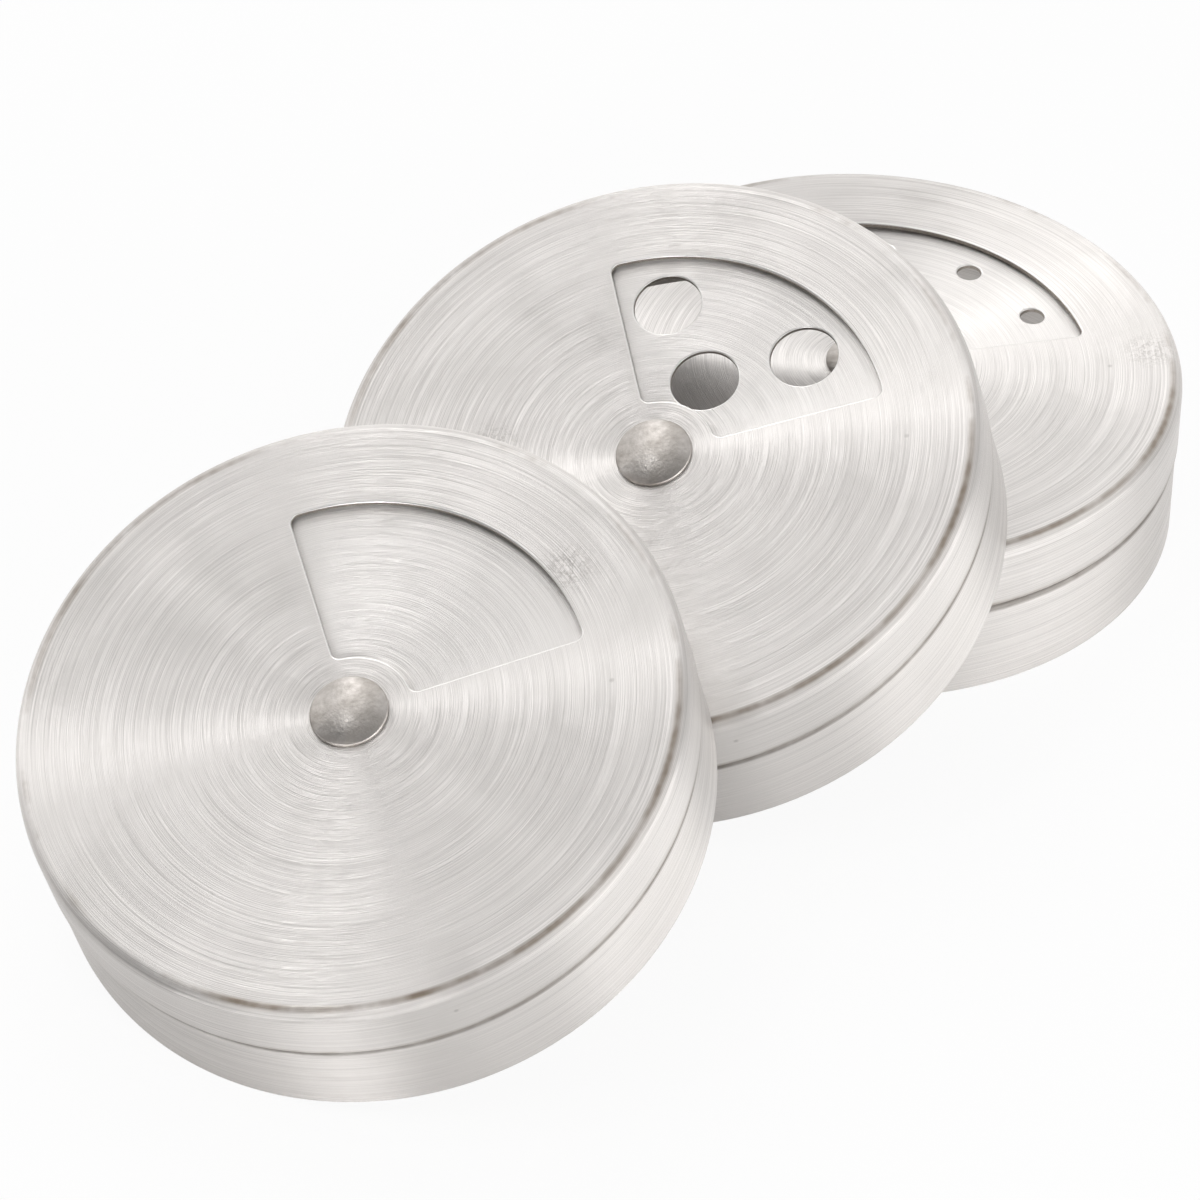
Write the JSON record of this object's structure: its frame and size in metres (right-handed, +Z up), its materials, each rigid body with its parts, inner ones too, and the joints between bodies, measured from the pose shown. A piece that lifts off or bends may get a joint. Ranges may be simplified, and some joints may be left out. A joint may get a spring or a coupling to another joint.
{
  "type": "rotating shaker lid set",
  "caption": "Brushed steel push-on shaker lids leaning in a row, each with a riveted dial whose quarter window turns over a sifter plate to close, shake or pour.",
  "frame": {"origin": "centre of the back lid's mouth, on the table", "axes": "+Z up along the back lid's axis, +Y away from the viewer, +X to the viewer's right"},
  "size_m": [0.1212, 0.1432, 0.0431],
  "materials": {
    "dial_steel": "brushed in circles on the face, along the skirt on the side",
    "cap_steel": "brushed in circles on the plate, satin band",
    "rivet_metal": "dull, lightly worn dome",
    "washer_steel": "plain"
  },
  "bodies": {
    "back_lid": {"back_sifter_cap": "cap_steel", "back_rivet": "rivet_metal", "back_spacer_washer": "washer_steel", "back_backing_washer": "washer_steel"},
    "back_dial_turning": {"back_dial": "dial_steel"},
    "middle_lid": {"middle_sifter_cap": "cap_steel", "middle_rivet": "rivet_metal", "middle_spacer_washer": "washer_steel", "middle_backing_washer": "washer_steel"},
    "middle_dial_turning": {"middle_dial": "dial_steel"},
    "front_lid": {"front_sifter_cap": "cap_steel", "front_rivet": "rivet_metal", "front_spacer_washer": "washer_steel", "front_backing_washer": "washer_steel"},
    "front_dial_turning": {"front_dial": "dial_steel"}
  },
  "joints": [
    {"name": "back_dial_turn", "type": "hinge", "parent": "back_lid", "child": "back_dial_turning", "pos_m": [0, 0, 0.0187], "axis": [0, 0, 1], "continuous": true},
    {"name": "middle_dial_turn", "type": "hinge", "parent": "middle_lid", "child": "middle_dial_turning", "pos_m": [-0.02233, -0.03188, 0.03033], "axis": [-0.2058, -0.3146, 0.9266], "continuous": true},
    {"name": "front_dial_turn", "type": "hinge", "parent": "front_lid", "child": "front_dial_turning", "pos_m": [-0.052, -0.07547, 0.03027], "axis": [-0.181, -0.3266, 0.9277], "continuous": true},
    {"name": "middle_lid_lift", "type": "slide", "parent": "back_lid", "child": "middle_lid", "axis": [0, 0, 1], "range_m": [0, 0.06]},
    {"name": "front_lid_lift", "type": "slide", "parent": "middle_lid", "child": "front_lid", "axis": [0, 0, 1], "range_m": [0, 0.06]}
  ]
}
